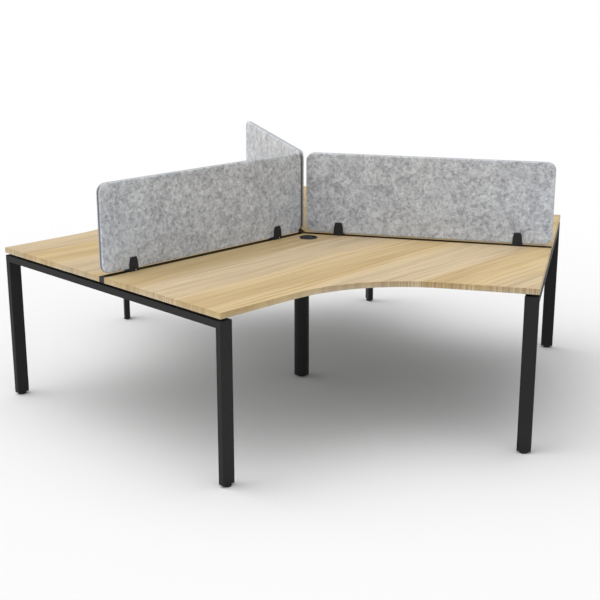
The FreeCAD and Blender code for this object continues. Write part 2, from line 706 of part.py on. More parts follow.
def make_clamp_hardware():
    """Under each bracket a plate that pulls up against the two worktops, with its bolt and nut."""
    spots = [(angle, along) for angle in SPINES.values() for along in BRACKET_PLACES.values()]
    plate_under = TOP_UNDER - S.clamp_thickness
    over = S.cut_overrun
    plates = new_body("clamp_plates")
    shapes = [centred_box(x, ZERO, S.clamp_width, S.clamp_span, angle) for angle, x in spots]
    extrude(plates, "Pad", "XY_Plane", plate_under, TOP_UNDER, *shapes)
    centres = [turned(angle, along, ZERO) for angle, along in spots]
    hole = S.clamp_bolt_radius + S.clamp_clearance
    holes = [circle(x, y, hole) for x, y in centres]
    extrude(plates, "Pocket", "XY_Plane", plate_under - over, TOP_UNDER + over, *holes)
    head_top = SCREEN_UNDER - S.clamp_head_depth
    head_under = head_top - S.clamp_head_height
    nut_under = plate_under - S.clamp_head_height
    heads = [circle(x, y, S.clamp_head_radius) for x, y in centres]
    shanks = [circle(x, y, S.clamp_bolt_radius) for x, y in centres]
    bolts = new_body("clamp_bolts")
    extrude(bolts, "Pad", "XY_Plane", nut_under - S.clamp_bolt_end, head_under, *shanks)
    extrude(bolts, "Pad", "XY_Plane", head_under, head_top, *heads)
    extrude(bolts, "Pad", "XY_Plane", nut_under, plate_under, *heads)


def make_worktop_screws():
    places = []
    for angle in SPINES.values():
        for along, across in worktop_screw_places():
            places += [turned(angle, along, across * side) for side in (1, -1)]
    heads = [circle(x, y, S.screw_head_radius) for x, y in places]
    shanks = [circle(x, y, S.screw_radius) for x, y in places]
    body = new_body("worktop_screws")
    extrude(body, "Pad", "XY_Plane", SCREW_HEAD_UNDER, PLATE_UNDER, *heads)
    extrude(body, "Pad", "XY_Plane", PLATE_UNDER, PLATE_UNDER + S.screw_grip, *shanks)


# How a bar that stands upright is laid along each axis of a spine's frame.
TILTS = {
    "x": FreeCAD.Rotation(FreeCAD.Vector(0, 1, 0), 90),
    "y": FreeCAD.Rotation(FreeCAD.Vector(1, 0, 0), -90),
    "z": FreeCAD.Rotation(),
}


def make_bar(owner, angle, axis, start, length, radius):
    """A round bar in a spine's frame, from a point along an axis."""
    bar = doc.addObject("Part::Cylinder", f"{owner}_bar")
    bind(bar, Radius=radius, Height=length)
    place(bar, angle, *start, tilt=TILTS[axis])
    return bar


def make_fastener(owner, angle, axis, sections):
    """One screw or bolt: round sections on one axis, each with its start, length and radius."""
    fused = doc.addObject("Part::MultiFuse", f"{owner}_piece")
    fused.Shapes = [make_bar(owner, angle, axis, *section) for section in sections]
    return fused


def make_group(name, pieces):
    group = doc.addObject("Part::Compound", name)
    group.Links = pieces
    nodes.append(group)


def make_beam_end_plates():
    """The plate on the far end of each beam, bolted to the inner side of its end rail."""
    middle = (RAIL_UNDER + RAIL_TOP) / 2
    over = S.cut_overrun
    hole = S.bolt_radius + S.bolt_clearance
    depth = S.end_plate_thickness + over * 2
    plates = []
    for angle in SPINES.values():
        plate = doc.addObject("Part::Box", "beam_end_plate")
        bind(plate, Length=S.end_plate_thickness, Width=S.end_plate_width, Height=S.tube_width)
        place(plate, angle, BEAM_END, -S.end_plate_width / 2, RAIL_UNDER)
        starts = [(BEAM_END - over, S.end_bolt_spacing * side / 2, middle) for side in (1, -1)]
        tools = doc.addObject("Part::MultiFuse", "beam_end_plate_holes")
        tools.Shapes = [make_bar("end_plate", angle, "x", start, depth, hole) for start in starts]
        cut = doc.addObject("Part::Cut", "beam_end_plate_drilled")
        cut.Base = plate
        cut.Tool = tools
        plates.append(cut)
    make_group("beam_end_plates", plates)


def make_frame_bolts():
    """The bolts at the hub, upright, and at the rails, level, each with its nut in the tube."""
    middle = (RAIL_UNDER + RAIL_TOP) / 2
    head = S.bolt_head_height
    grip = S.tube_wall + head + S.bolt_end
    pieces = []
    for angle in SPINES.values():
        for x, y in hub_bolt_places():
            pieces.append(make_fastener("frame_bolts", angle, "z", [
                ((x, y, HUB_PLATE_UNDER - head), head, S.bolt_head_radius),
                ((x, y, HUB_PLATE_UNDER), S.hub_plate_thickness + grip, S.bolt_radius),
                ((x, y, RAIL_UNDER + S.tube_wall), head, S.bolt_head_radius),
            ]))
        for side in (1, -1):
            y = S.end_bolt_spacing * side / 2
            pieces.append(make_fastener("frame_bolts", angle, "x", [
                ((BEAM_END - head, y, middle), head, S.bolt_head_radius),
                ((BEAM_END, y, middle), S.end_plate_thickness + grip, S.bolt_radius),
                ((RAIL_INNER + S.tube_wall, y, middle), head, S.bolt_head_radius),
            ]))
    make_group("frame_bolts", pieces)


def make_grip_screws():
    """The small screw in one side of each bracket."""
    face = S.bracket_depth / 2
    height = TOP + S.grip_screw_height
    pieces = []
    for angle in SPINES.values():
        for along in BRACKET_PLACES.values():
            x = along - S.grip_screw_offset
            shank_start = face - S.grip_screw_length
            pieces.append(make_fastener("grip_screws", angle, "y", [
                ((x, shank_start, height), S.grip_screw_length, S.grip_screw_radius),
                ((x, face, height), S.grip_head_height, S.grip_head_radius),
            ]))
    make_group("grip_screws", pieces)


def check_document():
    """Stops if an object failed, a cut removed nothing or a piece isn't a sound solid."""
    for item in doc.Objects:
        if {"Invalid", "Error"} & set(item.State):
            raise RuntimeError(f"{item.Name} did not build: {item.State}")
        if item.TypeId == "PartDesign::Pocket" and item.Shape.Volume >= item.BaseFeature.Shape.Volume:
            raise RuntimeError(f"{item.Name} cuts nothing")
    for node in nodes:
        if node.Shape.isNull() or not node.Shape.isValid() or not node.Shape.Solids:
            raise RuntimeError(f"{node.Label} is not a sound solid")


for desk, direction in DESKS.items():
    make_worktop(desk, direction)
    make_edge_band(desk, direction)
    make_grommet(desk, direction)

leg_places = [(spine, direction, side) for spine, direction in SPINES.items() for side in (1, -1)]
for spine, direction in SPINES.items():
    make_end_rail(spine, direction)
    make_spine_beam(spine, direction)
    make_rail_spacers(spine, direction)
    make_cross_bearers(spine, direction)
    make_gap_cover(spine, direction)
    make_screen(spine, direction)
    for spot_name, place_along in BRACKET_PLACES.items():
        make_bracket(spine, direction, spot_name, place_along)
for spine, direction, side in leg_places:
    make_leg(spine, direction, side)
    make_glide(f"{spine}_{SIDE_NAMES[spine][side]}", direction, LEG_ALONG, LEG_ACROSS * side)
make_leg_caps([(direction, side) for spine, direction, side in leg_places])
make_centre_leg()
make_glide("centre", 0, S.centre_leg_right, S.centre_leg_back)
make_hub_plate()
make_beam_end_plates()
make_clamp_hardware()
make_worktop_screws()
make_frame_bolts()
make_grip_screws()

doc.recompute()
check_document()
os.makedirs("parts", exist_ok=True)
for node in nodes:
    node.Shape.exportStep(f"parts/{node.Label}.step")
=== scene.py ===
import json
import math

import bmesh
import bpy
from mathutils import Color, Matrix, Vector


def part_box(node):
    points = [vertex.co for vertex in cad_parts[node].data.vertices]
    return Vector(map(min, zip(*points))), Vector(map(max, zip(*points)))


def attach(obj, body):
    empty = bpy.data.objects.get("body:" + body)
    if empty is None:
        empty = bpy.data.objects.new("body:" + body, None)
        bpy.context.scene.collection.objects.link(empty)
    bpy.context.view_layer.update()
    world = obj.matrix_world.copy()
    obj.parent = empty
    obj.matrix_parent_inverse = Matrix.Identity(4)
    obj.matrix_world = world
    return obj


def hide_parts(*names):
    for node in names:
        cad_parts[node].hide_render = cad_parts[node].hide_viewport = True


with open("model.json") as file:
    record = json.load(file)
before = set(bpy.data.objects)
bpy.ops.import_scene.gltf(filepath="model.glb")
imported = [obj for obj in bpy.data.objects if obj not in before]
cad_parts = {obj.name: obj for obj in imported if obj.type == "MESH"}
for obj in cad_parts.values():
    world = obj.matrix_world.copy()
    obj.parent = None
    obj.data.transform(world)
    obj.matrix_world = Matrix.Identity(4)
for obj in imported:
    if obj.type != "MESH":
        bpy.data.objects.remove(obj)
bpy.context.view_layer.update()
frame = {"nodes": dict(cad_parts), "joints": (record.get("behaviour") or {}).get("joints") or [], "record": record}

MM = 0.001

# The desk's layout: the bearings of the three cable gaps from the hub, the radius of the curved fronts, and
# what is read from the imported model.
SPINES = {"back": math.radians(90), "left": math.radians(210), "right": math.radians(330)}
FRONT_ARC = 640 * MM
CAP_TURNS = [Vector(joint["pos_m"]) for joint in frame["joints"] if joint["name"].startswith("grommet_cap")]
HUB = sum(CAP_TURNS, Vector()) / len(CAP_TURNS)
WORKTOP_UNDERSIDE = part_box("worktop_front")[0].z
HALF_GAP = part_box("gap_cover_back")[1].x
DESK_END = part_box("worktop_rear_left")[1].y - HUB.y
SCREEN_LOW, SCREEN_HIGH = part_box("screen_back")

# Colours as they look on a screen, each channel from 0 to FULL.
FULL = 255
COLOURS = {
    "oak_warm": (224, 199, 151),
    "oak_grey": (220, 199, 165),
    "dull_warm": (199, 169, 116),
    "dull_grey": (200, 180, 151),
    "line_warm": (174, 140, 90),
    "line_grey": (166, 150, 128),
    "dark_lane_and_painted_shade": (158, 130, 84),
    "light_streak": (236, 218, 184),
    "fine_streak": (172, 142, 100),
    "pore": (140, 112, 78),
    "cut_dark": (152, 126, 96),
    "cut_pale": (240, 226, 200),
    "band_foot_tone_and_painted_light": (236, 238, 241),
    "band_head_tone_and_painted_shade": (232, 228, 216),
    # Painted shade on the boards' faces inside the cable gaps.
    "gap_side_painted_shade": (58, 44, 26),
    "balancing_foil": (118, 117, 114),
    "coat": (40, 40, 40),
    "coat_dust": (52, 51, 50),
    "plastic_dark": (34, 36, 41),
    "plastic_light": (43, 45, 50),
    "rubber": (26, 26, 26),
    "rubber_dust": (92, 90, 86),
    "zinc_bright": (216, 218, 220),
    "zinc_dull": (180, 182, 186),
    "felt_dark": (154, 158, 172),
    "felt_pale": (237, 246, 255),
    "felt_painted_warm_light": (255, 252, 247),
    "felt_arris": (238, 238, 238),
    "felt_rim_and_painted_light": (184, 184, 184),
    "felt_upright_rim_and_painted_shade": (156, 156, 156),
    "felt_end_core_and_painted_shade": (108, 108, 108),
    "floor": (246, 246, 246),
    "white": (255, 255, 255),
}

# Oak foil: planks printed side by side, warm and greyish by turns. Each desk has the bearing of its curved
# front from the hub, the direction of its grain and, across the grain from the hub, the place of a greyish
# plank's middle and of its darker lanes: their middles, half widths and strengths. The lanes are darker print,
# and where they run beside a screen's foot they are partly painted shade.
GRAINS = {
    "front": {
        "front": math.radians(270),
        "angle": math.radians(32),
        "grey_plank": -310 * MM,
        "lanes": ((-60 * MM, 130 * MM, 0.14), (-142 * MM, 68 * MM, 0.20), (-570 * MM, 75 * MM, 0.16)),
    },
    "rear_left": {
        "front": math.radians(150),
        "angle": math.radians(29),
        "grey_plank": 170 * MM,
        "lanes": ((390 * MM, 60 * MM, 0.14), (930 * MM, 90 * MM, 0.20)),
    },
    "rear_right": {
        "front": math.radians(30),
        "angle": math.radians(-31),
        "grey_plank": 260 * MM,
        "lanes": ((60 * MM, 90 * MM, 0.20), (540 * MM, 70 * MM, 0.16)),
    },
}
PLANK_PAIR = 540 * MM
PLANK_RAGGEDNESS = 2.4
PLANK_TURN = (-0.7, 1.5)
GREY_SHARE = 0.85
GRAIN_DEPTH = 2.0
SWAY = 60 * MM

# The foil's streaks: length along the grain, width across it, and the detail and roughness of their noise.
STREAKS = {
    "sway": {"length": 700 * MM, "width": 250 * MM, "detail": 2.0, "roughness": 0.50},
    "plank_edge": {"length": 900 * MM, "width": 45 * MM, "detail": 3.0, "roughness": 0.50},
    "broad": {"length": 1100 * MM, "width": 95 * MM, "detail": 1.0, "roughness": 0.50},
    "narrow": {"length": 800 * MM, "width": 15 * MM, "detail": 2.0, "roughness": 0.55},
    "light": {"length": 850 * MM, "width": 19 * MM, "detail": 2.0, "roughness": 0.60},
    "fine": {"length": 450 * MM, "width": 9 * MM, "detail": 3.0, "roughness": 0.70},
    "pores": {"length": 30 * MM, "width": 1.1 * MM, "detail": 1.0, "roughness": 0.50},
    "cut": {"length": 500 * MM, "width": 3.4 * MM, "detail": 2.0, "roughness": 0.60},
}

# How they show: the level of their noise at which they start, the rise to their full share, and that share.
SHOWN = {
    "broad": (0.38, 0.30, 0.50),
    "narrow": (0.48, 0.26, 0.55),
    "light": (0.54, 0.22, 0.45),
    "fine": (0.45, 0.25, 0.38),
    "pores": (0.60, 0.12, 0.20),
}
LANE_EDGE = (0.55, 0.65)

# Edge band and underside of the boards.
# The reach and fade of the painted shade on the boards' faces in the cable gaps; END_REACH marks the far ends.
SIDE_REACH = 0.3 * MM
SIDE_FADE = 0.5 * MM
END_REACH = 1 * MM
# Where the painted shade at the band's head gives way to painted light at its foot.
BAND_SHADE_START = 5 * MM
BAND_SHADE_RISE = 14 * MM
UNDERSIDE_SKIN = 0.2 * MM
UNDERSIDE_FADE = 0.3 * MM

# Marks on the coat, the plastic, the rubber and the zinc.
SCUFF = (20 * MM, 20 * MM, 4 * MM)
SCUFF_START = 20 * MM
SCUFF_RISE = 260 * MM
PLASTIC_GRAIN = 0.6 * MM
FOOT_DUST = 6 * MM
TURNING_MARK = (4 * MM, 4 * MM, 0.4 * MM)

# How deep the relief of each finish goes.
OAK_RELIEF = 0.12 * MM
COAT_RELIEF = 0.06 * MM
PLASTIC_RELIEF = 0.05 * MM
RUBBER_RELIEF = 0.1 * MM
ZINC_RELIEF = 0.03 * MM
FELT_RELIEF = 0.6 * MM

# The felt's fibres: the noise of each kind, and how much it changes the tone.
FELT_TONE = 0.49
CURL_TONE = 0.36
CURL_SHARPNESS = 6
# Painted light: how far the tone is raised at the foot, over FELT_FOOT, and where a warm tint rises towards the
# top.
FOOT_PAINTED_LIGHT = 0.12
FIBRES = {
    "clouds": {"scale": 15.0, "detail": 3.0, "roughness": 0.55, "distortion": 0.5},
    "clumps": {"scale": 38.0, "detail": 3.0, "roughness": 0.55, "distortion": 0.8},
    "tufts": {"scale": 100.0, "detail": 2.0, "roughness": 0.50, "distortion": 1.2},
    "hairs": {"scale": 900.0, "detail": 3.0, "roughness": 0.70, "distortion": 1.0},
    "curls": {"scale": 88.0, "detail": 2.0, "roughness": 0.50, "distortion": 1.8},
    "curled_patches": {"scale": 60.0, "detail": 1.0, "roughness": 0.50, "distortion": 0.0},
}
FIBRE_TONES = {"clouds": 0.75, "clumps": 1.15, "tufts": 0.95, "hairs": 0.20}
FELT_FOOT = 80 * MM
WARMTH_START = 100 * MM
WARMTH_RISE = 270 * MM
# Where the upright ends, with their painted shade, start above the foot and fade out below the top.
END_START = 4 * MM
END_FADE = 18 * MM

# Felt screens. Their faces are flat inside the margin, and sink a little from there to the rim. A profile of
# four corners, rounded at the arrises, runs round the margin.
SCREEN_CORNER = 40 * MM
SCREEN_ARRIS = 6 * MM
SCREEN_MARGIN = 34 * MM
SCREEN_SINK = 0.5 * MM
PROFILE_CORNERS = 4
CORNER_STEPS = 20
ARRIS_STEPS = 8
RIM_STEP = 1 * MM
WELD = 0.01 * MM

# Camera, fitted to the photograph's corners. The bearing is that of the camera from its target.
CAMERA_TARGET = Vector((7.75, 101.3, 359.7)) * MM
CAMERA_BEARING = math.radians(-105)
CAMERA_ELEVATION = math.radians(16)
CAMERA_DISTANCE = 5981 * MM
CAMERA_LENS = 71.06
CAMERA_SENSOR = 36

# Studio, in metres. The softboxes' directions are in degrees.
FLOOR_HALF = 30
FADE_START = 2.2
FADE_WIDTH = 2.4
SOFTBOX_FOCUS = 14
SOFTBOXES = {
    "overhead": {"azimuth": 0, "elevation": 90, "gain": 0.90},
    "left_high": {"azimuth": 180, "elevation": 66, "gain": 1.20},
    "left_middle": {"azimuth": 180, "elevation": 40, "gain": 0.82},
    "left_low": {"azimuth": 180, "elevation": 12, "gain": 0.72},
    "rear_high": {"azimuth": 90, "elevation": 66, "gain": 0.93},
    "rear_left_low": {"azimuth": 135, "elevation": 12, "gain": 0.90},
    "front_left_low": {"azimuth": 225, "elevation": 12, "gain": 0.15},
    "front_low": {"azimuth": 270, "elevation": 12, "gain": 0.42},
    "front_right_low": {"azimuth": 315, "elevation": 12, "gain": 0.22},
    "front_right_middle": {"azimuth": 300, "elevation": 40, "gain": 0.50},
    "right_low": {"azimuth": 0, "elevation": 12, "gain": 0.63},
}


class Reading:
    """One output of a node. Arithmetic on it adds Math nodes to its tree."""

    def __init__(self, bench, socket):
        self.bench = bench
        self.socket = socket

    def __add__(self, other):
        return self.bench.math("ADD", self, other)

    def __radd__(self, other):
        return self.bench.math("ADD", other, self)

    def __sub__(self, other):
        return self.bench.math("SUBTRACT", self, other)

    def __rsub__(self, other):
        return self.bench.math("SUBTRACT", other, self)

    def __mul__(self, other):
        return self.bench.math("MULTIPLY", self, other)

    def __rmul__(self, other):
        return self.bench.math("MULTIPLY", other, self)

    def __truediv__(self, other):
        return self.bench.math("DIVIDE", self, other)

    def __pow__(self, other):
        return self.bench.math("POWER", self, other)

    def __abs__(self):
        return self.bench.math("ABSOLUTE", self)

    def clamped(self):
        return self.bench.math("ADD", self, 0.0, clamp=True)

    def over(self, edge, width):
        """0 below edge, 1 above edge + width, and smooth between them."""
        return self.bench.read(
            "ShaderNodeMapRange",
            {"interpolation_type": "SMOOTHSTEP"},
            {"Value": self, "From Min": edge, "From Max": edge + width},
        )


class Bench:
    """A node tree and the one way of adding a node to it."""

    def __init__(self, tree):
        self.tree = tree

    def node(self, kind, settings=None, sockets=None):
        made = self.tree.nodes.new(kind)
        for name, value in (settings or {}).items():
            setattr(made, name, value)
        for name, value in (sockets or {}).items():
            if isinstance(value, Reading):
                self.tree.links.new(value.socket, made.inputs[name])
            else:
                made.inputs[name].default_value = value
        return made

    def read(self, kind, settings=None, sockets=None, output=0):
        return Reading(self, self.node(kind, settings, sockets).outputs[output])

    def math(self, operation, *values, clamp=False):
        settings = {"operation": operation, "use_clamp": clamp}
        return self.read("ShaderNodeMath", settings, dict(enumerate(values)))

    def vector(self, x=0.0, y=0.0, z=0.0):
        return self.read("ShaderNodeCombineXYZ", None, {"X": x, "Y": y, "Z": z})

    def split(self, vector):
        """The three numbers of a vector."""
        made = self.node("ShaderNodeSeparateXYZ", None, {"Vector": vector})
        return tuple(Reading(self, socket) for socket in made.outputs)


class Finish(Bench):
    """A material whose colour, roughness and relief are worked out from the place on the object."""

    def __init__(self, name):
        self.material = bpy.data.materials.new(name)
        self.material.use_nodes = True
        super().__init__(self.material.node_tree)
        self.tree.nodes.clear()
        self.place = self.read("ShaderNodeTexCoord", output="Object")

    def height(self):
        return self.split(self.place)[2]

    def stretched(self, marks, angle=0.0, start=(0.0, 0.0, 0.0), place=None):
        """The place in marks of that length, width and depth, turned about the vertical."""
        return self.read(
            "ShaderNodeMapping",
            {"vector_type": "TEXTURE"},
            {
                "Vector": place or self.place,
                "Location": start,
                "Rotation": (0.0, 0.0, angle),
                "Scale": marks,
            },
        )

    def from_hub(self, bearing, unit=1.0, place=None):
        """How far the place lies from the hub's axis, in that unit: along the bearing, and to its left."""
        turned = self.stretched((unit, unit, unit), bearing, (HUB.x, HUB.y, 0.0), place)
        return self.split(turned)[:2]

    def noise(self, scale=1.0, detail=2.0, roughness=0.5, distortion=0.0, place=None):
        sockets = {
            "Vector": place or self.place,
            "Scale": scale,
            "Detail": detail,
            "Roughness": roughness,
            "Distortion": distortion,
        }
        return self.read("ShaderNodeTexNoise", None, sockets)

    def mix(self, share, first, second, blend="MIX"):
        """Two colours mixed. A colour is four numbers or a reading."""
        made = self.node("ShaderNodeMix", {"data_type": "RGBA", "blend_type": blend})
        # A Mix node has sockets of one name for each kind of data, so the colours' go by number.
        for number, value in ((0, share), (6, first), (7, second)):
            if isinstance(value, Reading):
                self.tree.links.new(value.socket, made.inputs[number])
            else:
                made.inputs[number].default_value = value
        return Reading(self, made.outputs[2])

    def relief(self, height, distance):
        return self.read("ShaderNodeBump", None, {"Distance": distance, "Height": height})

    def surface(self, **sockets):
        """Ends the material in a Principled shader. Underscores in a name stand for spaces."""
        named = {name.replace("_", " "): value for name, value in sockets.items()}
        shader = self.read("ShaderNodeBsdfPrincipled", None, named)
        self.node("ShaderNodeOutputMaterial", None, {"Surface": shader})
        return self.material


def colour(name):
    """A colour of the list above in the linear numbers that a shader's socket takes."""
    seen = Color([channel / FULL for channel in COLOURS[name]])
    return (*seen.from_srgb_to_scene_linear(), 1.0)


def beside_spines(foil):
    """1 on the boards' faces in the three cable gaps, which take painted shade, and 1 on their ends at the far
    ends of the gaps.
    """
    shaded_sides = 0.0
    ends = 0.0
    for bearing in SPINES.values():
        along, across = foil.from_hub(bearing)
        beside = 1 - abs(across).over(HALF_GAP + SIDE_REACH, SIDE_FADE)
        shaded_sides = shaded_sides + beside * along.over(0.0, SIDE_FADE)
        ends = ends + along.over(DESK_END - END_REACH, SIDE_FADE)
    return shaded_sides.clamped(), ends.clamped()


def band_colour(foil, base, cut, front, angle):
    """The foil as edge band: streaked where it runs across the grain, and painted nearly black with shade in the
    gaps.
    """
    shaded_sides, ends = beside_spines(foil)
    # Along the curved front, the band crosses the grain by this much. The ends beyond it cross it fully.
    _, aside = foil.from_hub(front, FRONT_ARC)
    ahead = (1 - aside * aside).clamped() ** 0.5
    crossed = abs(ahead * math.cos(angle - front) - aside * math.sin(angle - front)).over(0.46, 0.36)
    base = foil.mix(cut.over(0.50, 0.14) * crossed * (0.55 - ends * 0.33), base, colour("cut_dark"))
    base = foil.mix((1 - cut.over(0.38, 0.10)) * crossed * 0.35, base, colour("cut_pale"))
    # The band's own darker tone, with painted shade towards its head and painted light towards its foot.
    up = foil.height().over(WORKTOP_UNDERSIDE + BAND_SHADE_START, BAND_SHADE_RISE)
    base = foil.mix(1.0, base, foil.mix(up, colour("band_foot_tone_and_painted_light"), colour("band_head_tone_and_painted_shade")), "MULTIPLY")
    # Painted shade: the band's faces inside the cable gaps are darkened to a near black brown.
    return foil.mix(shaded_sides * 0.90, base, colour("gap_side_painted_shade"))


def oak(name, front, angle, grey_plank, lanes, seed, band=False):
    """Oak foil: planks with long streaks, warm lines in the warm planks and grey ones in the grey."""
    foil = Finish(name)
    start = (HUB.x, HUB.y, seed * GRAIN_DEPTH)

    def streaks(kind, place=None):
        streak = STREAKS[kind]
        marks = foil.stretched((streak["length"], streak["width"], GRAIN_DEPTH), angle, start, place)
        return foil.noise(detail=streak["detail"], roughness=streak["roughness"], place=marks)

    sway = foil.vector(0.0, (streaks("sway") - 0.5) * SWAY, 0.0)
    swayed = foil.read("ShaderNodeVectorMath", {"operation": "ADD"}, {0: foil.place, 1: sway})
    _, across = foil.from_hub(angle, place=swayed)
    wave = foil.math("COSINE", (across - grey_plank) * (2 * math.pi / PLANK_PAIR))
    grey = (wave + (streaks("plank_edge", swayed) - 0.5) * PLANK_RAGGEDNESS).over(*PLANK_TURN) * GREY_SHARE

    def laid(kind, level, base, tone):
        start_level, rise, share = SHOWN[kind]
        return foil.mix(level.over(start_level, rise) * share, base, tone)

    narrow = streaks("narrow", swayed)
    fine = streaks("fine", swayed)
    pores = streaks("pores")
    base = foil.mix(grey, colour("oak_warm"), colour("oak_grey"))
    dull = foil.mix(grey, colour("dull_warm"), colour("dull_grey"))
    base = laid("broad", streaks("broad", swayed), base, dull)
    # Darker lanes of the print; beside a screen's foot they are partly painted shade.
    for place, half_width, strength in lanes:
        lane = 1 - (abs(across - place) / half_width).over(*LANE_EDGE)
        base = foil.mix(lane * strength, base, colour("dark_lane_and_painted_shade"))
    line = foil.mix(grey, colour("line_warm"), colour("line_grey"))
    base = laid("narrow", narrow, base, line)
    base = laid("light", streaks("light", swayed), base, colour("light_streak"))
    base = laid("fine", fine, base, colour("fine_streak"))
    base = laid("pores", pores, base, colour("pore"))
    if band:
        base = band_colour(foil, base, streaks("cut"), front, angle)
    else:
        under = 1 - foil.height().over(WORKTOP_UNDERSIDE + UNDERSIDE_SKIN, UNDERSIDE_FADE)
        base = foil.mix(under, base, colour("balancing_foil"))
    pits = pores.over(*SHOWN["pores"][:2])
    return foil.surface(
        Base_Color=base,
        Roughness=0.46 + fine * 0.12 + pits * 0.08,
        Specular_IOR_Level=0.35,
        Normal=foil.relief(fine * 0.4 + pits * -0.8 + narrow * 0.2, OAK_RELIEF),
    )


def powder_coat(name):
    """Satin black powder coat: orange peel, a little uneven gloss, dust, and shoe scuffs low down."""
    coat = Finish(name)
    peel = coat.noise(scale=700.0)
    cloud = coat.noise(scale=5.0, detail=3.0)
    low = 1 - coat.height().over(SCUFF_START, SCUFF_RISE)
    scuffs = coat.noise(detail=3.0, place=coat.stretched(SCUFF)).over(0.60, 0.12) * low
    dust = cloud.over(0.45, 0.30) * 0.25 + scuffs * 0.35
    return coat.surface(
        Base_Color=coat.mix(dust.clamped(), colour("coat"), colour("coat_dust")),
        Roughness=0.50 + cloud * 0.10 + scuffs * 0.12,
        Specular_IOR_Level=0.15,
        Normal=coat.relief(peel, COAT_RELIEF),
    )


def moulded_plastic(name):
    """Moulded plastic: fine spark-eroded grain and faint clouds."""
    plastic = Finish(name)
    grains = plastic.noise(scale=1 / PLASTIC_GRAIN)
    cloud = plastic.noise(scale=30.0, detail=3.0)
    return plastic.surface(
        Base_Color=plastic.mix(cloud.over(0.35, 0.40), colour("plastic_dark"), colour("plastic_light")),
        Roughness=0.48 + grains * 0.10 + cloud * 0.08,
        Specular_IOR_Level=0.35,
        Normal=plastic.relief(grains, PLASTIC_RELIEF),
    )


def rubber(name):
    """Matt rubber with bloom and a dusty lower edge."""
    pad = Finish(name)
    bloom = pad.noise(scale=60.0, detail=4.0)
    dust = (1 - pad.height().over(0.0, FOOT_DUST)) * bloom.over(0.35, 0.30)
    return pad.surface(
        Base_Color=pad.mix(dust * 0.6 + bloom * 0.15, colour("rubber"), colour("rubber_dust")),
        Roughness=0.72 + bloom * 0.15,
        Normal=pad.relief(bloom, RUBBER_RELIEF),
    )


def zinc(name):
    """Zinc plate: cloudy passivation and fine turning marks."""
    steel = Finish(name)
    cloud = steel.noise(scale=120.0, detail=4.0)
    marks = steel.noise(place=steel.stretched(TURNING_MARK))
    return steel.surface(
        Base_Color=steel.mix(cloud.over(0.35, 0.35), colour("zinc_bright"), colour("zinc_dull")),
        Metallic=1.0,
        Roughness=0.28 + cloud * 0.16 + marks * 0.10,
        Normal=steel.relief(marks, ZINC_RELIEF),
    )


def felt(name):
    """Pressed felt of pale and dark fibres: clumps, curled fibres, and a denser, darker cut edge.

    It is painted a little paler at the foot and warmer towards the top: painted light. The cut edge is lighter on
    the top and bottom rims than on the upright ends, which also get a dark core: the cut edge's own darker tone,
    with painted light and shade. The attribute edge is 0 on the faces, 1 where the rounded arris ends and more
    than that on the flat of the rim.
    """
    wool = Finish(name)
    edge = wool.read("ShaderNodeAttribute", {"attribute_name": "edge"}, output="Fac")
    up = wool.height()
    seen = {kind: wool.noise(**fibres) for kind, fibres in FIBRES.items()}
    curls = (1 - abs(seen["curls"] - 0.5) * CURL_SHARPNESS).clamped()
    curls = curls * seen["curled_patches"].over(0.50, 0.10)

    tone = FELT_TONE
    for kind, weight in FIBRE_TONES.items():
        tone = tone + (seen[kind] - 0.5) * weight
    # Painted light: the tone is raised towards the foot.
    tone = tone - curls * CURL_TONE + (1 - up.over(SCREEN_LOW.z, FELT_FOOT)) * FOOT_PAINTED_LIGHT
    base = wool.mix(tone.clamped(), colour("felt_dark"), colour("felt_pale"))
    # Painted light: a warm tint rising towards the top.
    painted_warm_light = up.over(SCREEN_LOW.z + WARMTH_START, WARMTH_RISE)
    base = wool.mix(1.0, base, wool.mix(painted_warm_light, colour("white"), colour("felt_painted_warm_light")), "MULTIPLY")

    above_foot = up.over(SCREEN_LOW.z + END_START, END_FADE)
    near_top = up.over(SCREEN_HIGH.z - END_START - END_FADE, END_FADE)
    on_end = above_foot * (1 - near_top)
    arris = edge.over(0.05, 0.25) * (1 - edge.over(0.45, 0.35))
    # The darker cut edge, with painted light on the top and bottom rims and painted shade on the upright ends.
    rim = wool.mix(on_end, colour("felt_rim_and_painted_light"), colour("felt_upright_rim_and_painted_shade"))
    base = wool.mix(arris * 0.12, base, colour("felt_arris"))
    base = wool.mix(edge.over(0.75, 0.35) * 0.90, base, rim)
    # The upright ends' dark core: the cut edge's darker tone and painted shade.
    base = wool.mix(edge.over(1.4, 0.5) * on_end, base, colour("felt_end_core_and_painted_shade"))
    return wool.surface(
        Base_Color=base,
        Roughness=0.93,
        Specular_IOR_Level=0.15,
        Sheen_Weight=0.12,
        Sheen_Roughness=0.5,
        Normal=wool.relief(seen["hairs"] * 0.5 + seen["tufts"] * 0.8 + seen["clumps"] * 0.7, FELT_RELIEF),
    )


def face_outwards(mesh):
    shell = bmesh.new()
    shell.from_mesh(mesh)
    bmesh.ops.recalc_face_normals(shell, faces=shell.faces)
    shell.to_mesh(mesh)
    shell.free()


def stand(thing, name):
    """An object in the scene that holds this mesh or camera."""
    standing = bpy.data.objects.new(name, thing)
    bpy.context.scene.collection.objects.link(standing)
    return standing


